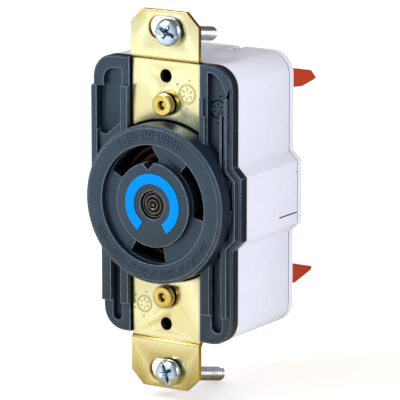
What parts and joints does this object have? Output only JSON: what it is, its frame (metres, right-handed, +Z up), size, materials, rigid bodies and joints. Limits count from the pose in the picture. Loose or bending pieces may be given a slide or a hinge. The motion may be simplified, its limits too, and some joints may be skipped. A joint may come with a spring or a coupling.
{
  "type": "locking receptacle",
  "caption": "Flush locking receptacle: round black collar face with curved slots, yellow metal mounting straps, white rear body and red clamp levers.",
  "frame": {"origin": "on the device axis, in the plane of the strap ears' back faces, which seat on the wall box", "axes": "+X to the right of the face, -Y out of the face, +Z up"},
  "size_m": [0.0417, 0.0476, 0.0946],
  "materials": {
    "black_plastic": "satin moulded",
    "white_plastic": "fine moulded grain",
    "red_plastic": "moulded",
    "blue_mark": "printed ink",
    "yellow_strap": "yellow plated",
    "brass": "bright rolled",
    "contact_brass": "bright",
    "zinc_steel": "bright zinc",
    "dark_rivet": "dark",
    "spring_steel": "plain",
    "fibre": "pressed fibre"
  },
  "bodies": {
    "housing": {"front_cover": "black_plastic", "marking_arc": "blue_mark", "upper_strap": "yellow_strap", "lower_strap": "yellow_strap", "upper_eyelet": "brass", "lower_eyelet": "brass", "centre_rivet": "dark_rivet", "contact_body": "white_plastic", "back_cover": "white_plastic", "line_1_contact": "contact_brass", "line_2_contact": "contact_brass", "ground_contact": "contact_brass", "bonding_bar": "contact_brass", "line_1_spring": "spring_steel", "line_2_spring": "spring_steel", "ground_spring": "spring_steel"},
    "line_1_lever_body": {"line_1_lever": "red_plastic"},
    "line_1_jaw_body": {"line_1_jaw": "zinc_steel"},
    "line_2_lever_body": {"line_2_lever": "red_plastic"},
    "line_2_jaw_body": {"line_2_jaw": "zinc_steel"},
    "ground_lever_body": {"ground_lever": "red_plastic"},
    "ground_jaw_body": {"ground_jaw": "zinc_steel"},
    "upper_washer_body": {"upper_screw_washer": "fibre"},
    "upper_screw_body": {"upper_mounting_screw": "zinc_steel"},
    "lower_washer_body": {"lower_screw_washer": "fibre"},
    "lower_screw_body": {"lower_mounting_screw": "zinc_steel"}
  },
  "joints": [
    {"name": "line_1_lever_hinge", "type": "hinge", "parent": "housing", "child": "line_1_lever_body", "pos_m": [0.0135, 0.0252, 0.0266], "axis": [1, 0, 0], "range_deg": [-84, 0]},
    {"name": "line_1_jaw_slide", "type": "slide", "parent": "housing", "child": "line_1_jaw_body", "axis": [0, 0, 1], "range_m": [-0.003, 0], "deforming": ["line_1_spring"]},
    {"name": "line_2_lever_hinge", "type": "hinge", "parent": "housing", "child": "line_2_lever_body", "pos_m": [0.0135, 0.0252, -0.022], "axis": [1, 0, 0], "range_deg": [0, 90]},
    {"name": "line_2_jaw_slide", "type": "slide", "parent": "housing", "child": "line_2_jaw_body", "axis": [0, 0, 1], "range_m": [0, 0.003], "deforming": ["line_2_spring"]},
    {"name": "ground_lever_hinge", "type": "hinge", "parent": "housing", "child": "ground_lever_body", "pos_m": [-0.0145, 0.0252, 0.009], "axis": [1, 0, 0], "range_deg": [-84, 0]},
    {"name": "ground_jaw_slide", "type": "slide", "parent": "housing", "child": "ground_jaw_body", "axis": [0, 0, 1], "range_m": [-0.003, 0], "deforming": ["ground_spring"]},
    {"name": "upper_screw_tilt", "type": "hinge", "parent": "housing", "child": "upper_washer_body", "pos_m": [0.0017, -0.0006, 0.04072], "axis": [1, 0, 0], "range_deg": [0, 9.5]},
    {"name": "upper_screw_spin", "type": "hinge", "parent": "upper_washer_body", "child": "upper_screw_body", "pos_m": [0.0017, -0.0006, 0.04072], "axis": [-0.1149, 0.9797, -0.164], "continuous": true},
    {"name": "lower_screw_tilt", "type": "hinge", "parent": "housing", "child": "lower_washer_body", "pos_m": [0.0017, -0.0006, -0.04215], "axis": [1, 0, 0], "range_deg": [0, 13]},
    {"name": "lower_screw_spin", "type": "hinge", "parent": "lower_washer_body", "child": "lower_screw_body", "pos_m": [0.0017, -0.0006, -0.04215], "axis": [0, 0.9744, -0.225], "continuous": true}
  ],
  "couplings": [
    {"joint": "line_1_lever_hinge", "follows": "line_1_jaw_slide", "rad_per_m": 488.69},
    {"joint": "line_2_lever_hinge", "follows": "line_2_jaw_slide", "rad_per_m": 523.59},
    {"joint": "ground_lever_hinge", "follows": "ground_jaw_slide", "rad_per_m": 488.69}
  ]
}
